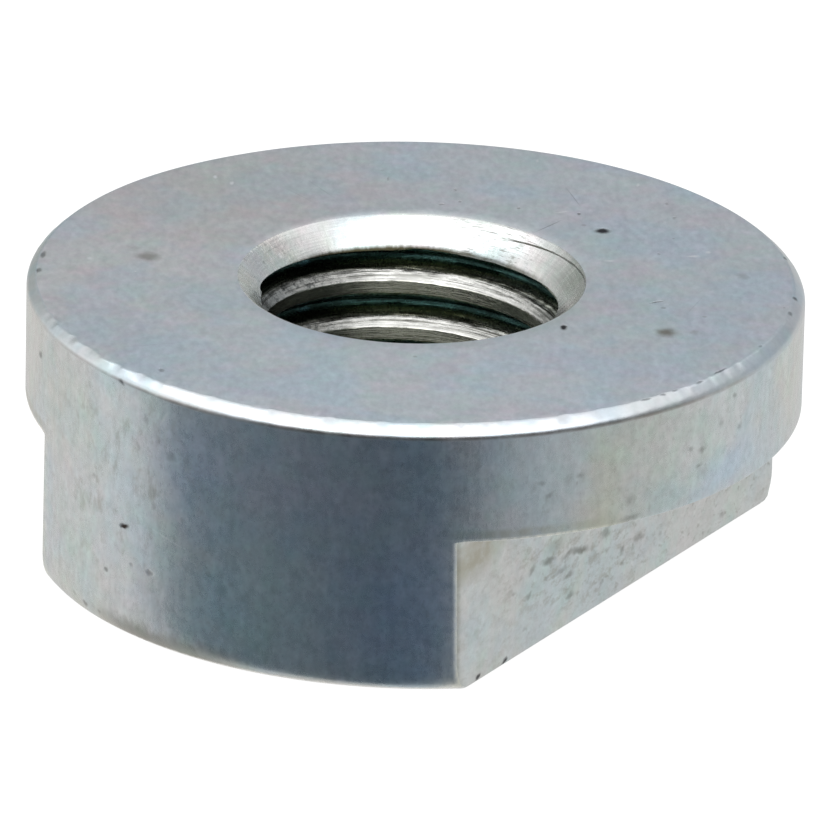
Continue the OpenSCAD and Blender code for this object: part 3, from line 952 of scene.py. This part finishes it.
def sheet(name, points, emit, albedo):
    m = bpy.data.meshes.new(name)
    m.from_pydata(points, [], [tuple(range(len(points)))])
    ob = bpy.data.objects.new(name, m)
    bpy.context.scene.collection.objects.link(ob)
    mat = bpy.data.materials.new(name + "_paper")
    mat.use_nodes = True
    n = Nodes(mat.node_tree)
    out = n.new("ShaderNodeOutputMaterial")
    paper = n.new("ShaderNodeBsdfDiffuse")
    paper.inputs["Color"].default_value = (albedo, albedo, albedo, 1)
    if emit:
        glow = n.new("ShaderNodeEmission")
        glow.inputs["Color"].default_value = (1, 1, 1, 1)
        glow.inputs["Strength"].default_value = emit
        both = n.new("ShaderNodeAddShader")
        n.tree.links.new(glow.outputs[0], both.inputs[0])
        n.tree.links.new(paper.outputs[0], both.inputs[1])
        n.tree.links.new(both.outputs[0], out.inputs[0])
    else:
        n.tree.links.new(paper.outputs[0], out.inputs[0])
    m.materials.append(mat)
    return ob


s = 3.0
floor = sheet("floor", [(-s, -s, 0), (s, -s, 0), (s, s, 0), (-s, s, 0)], 0.97, 0.12)
floor.location.z = -0.00004
floor.visible_glossy = False
floor.visible_diffuse = False
floor.visible_shadow = False
# the floor right under the nut, where no light comes from
under = sheet("floor_under", [(0.0078 * math.cos(a), 0.0078 * math.sin(a), 0) for a in np.linspace(0, 2 * math.pi, 64, endpoint=False)],
              0.0, 0.80)
under.location.z = -0.00002

# Soft studio surroundings: a pale dome, a broad softbox over the front, paler
# walls low down behind and at the sides, and a dim front.
world = bpy.data.worlds.new("studio")
bpy.context.scene.world = world
world.use_nodes = True
n = Nodes(world.node_tree)
out = n.new("ShaderNodeOutputWorld")
back = n.new("ShaderNodeBackground")
n.tree.links.new(back.outputs[0], out.inputs[0])
d = n.vec("NORMALIZE", n.new("ShaderNodeTexCoord").outputs["Generated"])
front = n.vec("DOT_PRODUCT", d, (math.sin(AZ), -math.cos(AZ), 0))
right = n.vec("DOT_PRODUCT", d, (math.cos(AZ), math.sin(AZ), 0))
up = n.vec("DOT_PRODUCT", d, (0, 0, 1))
turn = n.math("MULTIPLY_ADD", n.math("DIVIDE", n.math("ARCTAN2", right, front), math.pi), 0.5, 0.5)


def by_azimuth(stops):
    return n.ramp(turn, [(deg / 360 + 0.5, c) for deg, c in stops])


low = by_azimuth(((-180, (0.73, 0.72, 0.70)), (-142, (0.775, 0.735, 0.685)), (-104, (0.78, 0.775, 0.75)), (-91, (0.78, 0.78, 0.765)), (-71, (0.170, 0.212, 0.242)), (-60, (0.160, 0.197, 0.225)), (-5, (0.084, 0.112, 0.142)),
                  (6, (0.084, 0.110, 0.139)), (14, (0.12, 0.147, 0.173)), (28, (0.36, 0.385, 0.405)), (46, (0.55, 0.56, 0.54)), (60, (0.585, 0.585, 0.535)),
                  (110, (0.74, 0.745, 0.73)), (180, (0.73, 0.72, 0.70))))
mid = by_azimuth(((-180, (0.385, 0.42, 0.455)), (-156, (0.42, 0.44, 0.44)), (-147, (0.44, 0.46, 0.46)), (-136, (0.74, 0.76, 0.76)), (-125, (0.80, 0.82, 0.82)), (-112, (1.10, 1.11, 1.10)), (-78, (1.25, 1.25, 1.22)),
                  (-50, (0.10, 0.10, 0.10)), (0, (0.02, 0.02, 0.02)), (60, (0.10, 0.10, 0.10)), (105, (0.50, 0.52, 0.53)), (140, (0.42, 0.45, 0.48)),
                  (180, (0.385, 0.42, 0.455))))
colour = n.mix(n.remap(up, -0.10, 0.22), low, mid)
# a dim gap between the walls, level with the nut
gap = n.remap(n.math("ABSOLUTE", n.math("SUBTRACT", turn, 0.5 - 157 / 360)), 24 / 360, 9 / 360)
gap = n.mul(gap, n.remap(up, -0.24, -0.04), n.remap(up, 0.44, 0.26))
colour = n.mix(n.mul(gap, 0.85), colour, (0.36, 0.385, 0.365, 1))
colour = n.mix(n.remap(up, 0.52, 0.76), colour, (1.15, 1.15, 1.15, 1))
# the softbox, as a soft oval on a plane overhead
lift = n.math("MAXIMUM", up, 0.05)
px, py = n.math("DIVIDE", front, lift), n.math("DIVIDE", right, lift)
ox = n.math("DIVIDE", n.math("SUBTRACT", px, 0.85), 0.75)
oy = n.math("DIVIDE", py, 1.35)
oval = n.math("SQRT", n.add(n.mul(ox, ox), n.mul(oy, oy)))
colour = n.mix(n.mul(n.remap(oval, 1.15, 0.75), n.remap(up, 0.30, 0.5)), colour, (2.5, 2.5, 2.5, 1))
ox = n.math("DIVIDE", n.math("ADD", px, 0.12), 0.38)
oy = n.math("DIVIDE", n.math("ADD", py, 0.80), 0.34)
oval = n.math("SQRT", n.add(n.mul(ox, ox), n.mul(oy, oy)))
colour = n.mix(n.remap(oval, 1.25, 0.6), colour, (2.1, 2.1, 2.1, 1))
n.put(back.inputs["Color"], colour)
back.inputs["Strength"].default_value = 1.0

target = Vector((0, 0, H / 2 * MM))
side = np.array([math.cos(AZ), math.sin(AZ), 0.0])
fwd = np.array([-math.sin(AZ) * math.cos(EL), math.cos(AZ) * math.cos(EL), -math.sin(EL)])
upv = np.cross(side, fwd)
cam_x = math.cos(ROLL) * side + math.sin(ROLL) * upv
cam_y = math.cos(ROLL) * upv - math.sin(ROLL) * side
cam_data = bpy.data.cameras.new("camera")
cam = bpy.data.objects.new("camera", cam_data)
bpy.context.scene.collection.objects.link(cam)
DIST = 0.42633
place = Matrix.Identity(4)
for i in range(3):
    place[i][0], place[i][1], place[i][2] = cam_x[i], cam_y[i], -fwd[i]
    place[i][3] = target[i] - DIST * fwd[i]
cam.matrix_world = place
cam_data.sensor_width = 36.0
cam_data.sensor_fit = "HORIZONTAL"
cam_data.lens = 387.82 / (R * MM) * DIST * 36.0 / 830
cam_data.shift_x = (415 - 413.17) / 830
cam_data.shift_y = -(415 - 409.10) / 830
cam_data.clip_start = 0.01
cam_data.clip_end = 20.0
bpy.context.scene.camera = cam

view = bpy.context.scene.view_settings
view.view_transform = "Standard"
view.look = "None"
